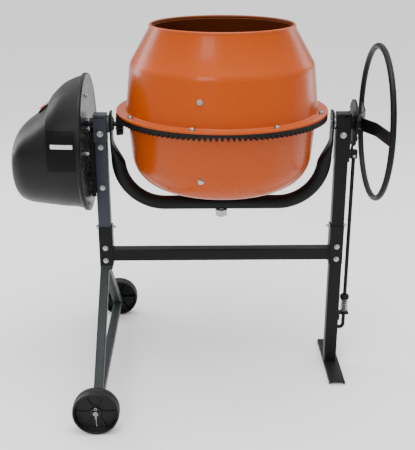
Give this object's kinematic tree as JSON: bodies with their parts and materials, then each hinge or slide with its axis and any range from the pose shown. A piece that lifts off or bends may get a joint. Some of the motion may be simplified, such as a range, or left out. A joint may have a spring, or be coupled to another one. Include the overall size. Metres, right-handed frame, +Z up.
{
  "type": "concrete mixer",
  "caption": "Electric tilting-drum concrete mixer on a two-wheeled stand, with a ring-gear drum in a bail, a handwheel for tipping and a motor housing.",
  "frame": {"origin": "on the floor, midway between the motor cover's far end and the handwheel's rim, and midway between the wheels", "axes": "+Z up, +X from the motor housing to the handwheel along the tilt axis, +Y towards the rear wheel, along the axle"},
  "size_m": [1.1048, 0.822, 1.1388],
  "materials": {
    "drum_paint": "gloss, orange",
    "black_paint": "satin, black",
    "slate_paint": "satin, dark slate",
    "leg_paint": "satin, dark grey",
    "black_casting": "matt black",
    "cover_plastic": "textured black",
    "tyre_plastic": "matt black",
    "belt_rubber": "matt black",
    "red_button": "gloss red",
    "pale_button": "gloss pale grey",
    "nylon": "natural grey",
    "zinc": "bright zinc plate",
    "steel": "bare turned steel",
    "alloy": "die cast",
    "bronze": "plain bronze"
  },
  "bodies": {
    "frame": {"left_post": "slate_paint", "right_post": "black_paint", "left_head_cap": "slate_paint", "right_head_cap": "black_paint", "head_bolt_left": "zinc", "head_bolt_right": "zinc", "crossbar": "black_paint", "axle_frame": "leg_paint", "support_foot": "black_paint", "axle": "steel", "split_pin_front": "zinc", "split_pin_rear": "zinc", "drive_sleeve": "steel", "trunnion_bush": "bronze", "shaft_bearing_outer": "steel", "shaft_bearing_inner": "steel", "backplate": "slate_paint", "housing_bracket": "black_paint", "motor_cover": "cover_plastic", "motor_bracket": "black_paint", "motor_stator": "alloy", "drive_belt": "belt_rubber", "run_capacitor": "pale_button", "switch_box": "cover_plastic", "cable_gland": "belt_rubber", "rod_guide": "black_paint", "lock_spring": "steel"},
    "cradle": {"bail": "black_paint", "drum_spindle": "steel", "spindle_nut": "zinc", "spindle_top_nut": "zinc", "bail_bush": "nylon", "trunnion_shaft": "steel", "lock_disc": "black_paint", "handwheel_strap": "black_paint", "handwheel_rim": "black_paint", "handwheel_nut": "zinc"},
    "drum": {"drum_upper_shell": "drum_paint", "drum_bowl": "drum_paint", "ring_gear": "black_casting", "mixing_paddle_1": "drum_paint", "mixing_paddle_2": "drum_paint", "drum_hub": "black_casting", "spindle_bearing_lower": "steel", "spindle_bearing_upper": "steel", "hub_cap": "drum_paint"},
    "drive": {"drive_shaft": "steel", "drive_pinion": "black_casting", "drive_pulley": "alloy"},
    "motor": {"motor_rotor": "steel", "motor_pulley": "alloy"},
    "front_wheel": {"wheel_front": "tyre_plastic"},
    "rear_wheel": {"wheel_rear": "tyre_plastic"},
    "drum_lock": {"lock_rod": "black_paint", "lock_pawl": "black_paint", "pawl_pin": "zinc", "foot_cup": "black_paint"},
    "start": {"start_button": "pale_button"},
    "stop": {"stop_button": "red_button"}
  },
  "joints": [
    {"name": "tilt", "type": "hinge", "parent": "frame", "child": "cradle", "pos_m": [0.0709, 0, 0.838], "axis": [1, 0, 0], "range_deg": [-115, 115]},
    {"name": "drum_spin", "type": "hinge", "parent": "cradle", "child": "drum", "pos_m": [0.0709, 0, 0.838], "axis": [0, 0, 1], "continuous": true},
    {"name": "drive_spin", "type": "hinge", "parent": "cradle", "child": "drive", "pos_m": [-0.3605, 0, 0.838], "axis": [1, 0, 0], "continuous": true},
    {"name": "motor_spin", "type": "hinge", "parent": "frame", "child": "motor", "pos_m": [-0.4605, 0, 0.69], "axis": [1, 0, 0], "continuous": true},
    {"name": "front_wheel_spin", "type": "hinge", "parent": "frame", "child": "front_wheel", "pos_m": [-0.3066, -0.382, 0.07], "axis": [0, 1, 0], "continuous": true},
    {"name": "rear_wheel_spin", "type": "hinge", "parent": "frame", "child": "rear_wheel", "pos_m": [-0.3066, 0.382, 0.07], "axis": [0, 1, 0], "continuous": true},
    {"name": "lock_slide", "type": "slide", "parent": "frame", "child": "drum_lock", "axis": [0, 0, 1], "range_m": [0, 0.013], "stiffness_N_per_m": 1500, "springref_m": 0.02, "deforming": ["lock_spring"]},
    {"name": "start_press", "type": "slide", "parent": "frame", "child": "start", "axis": [0.6328, 0, -0.7743], "range_m": [0, 0.004], "stiffness_N_per_m": 400},
    {"name": "stop_press", "type": "slide", "parent": "frame", "child": "stop", "axis": [0.6328, 0, -0.7743], "range_m": [0, 0.004], "stiffness_N_per_m": 400}
  ],
  "couplings": [
    {"joint": "drive_spin", "follows": "drum_spin", "ratio": 10.5},
    {"joint": "motor_spin", "follows": "drum_spin", "ratio": 50.114}
  ]
}
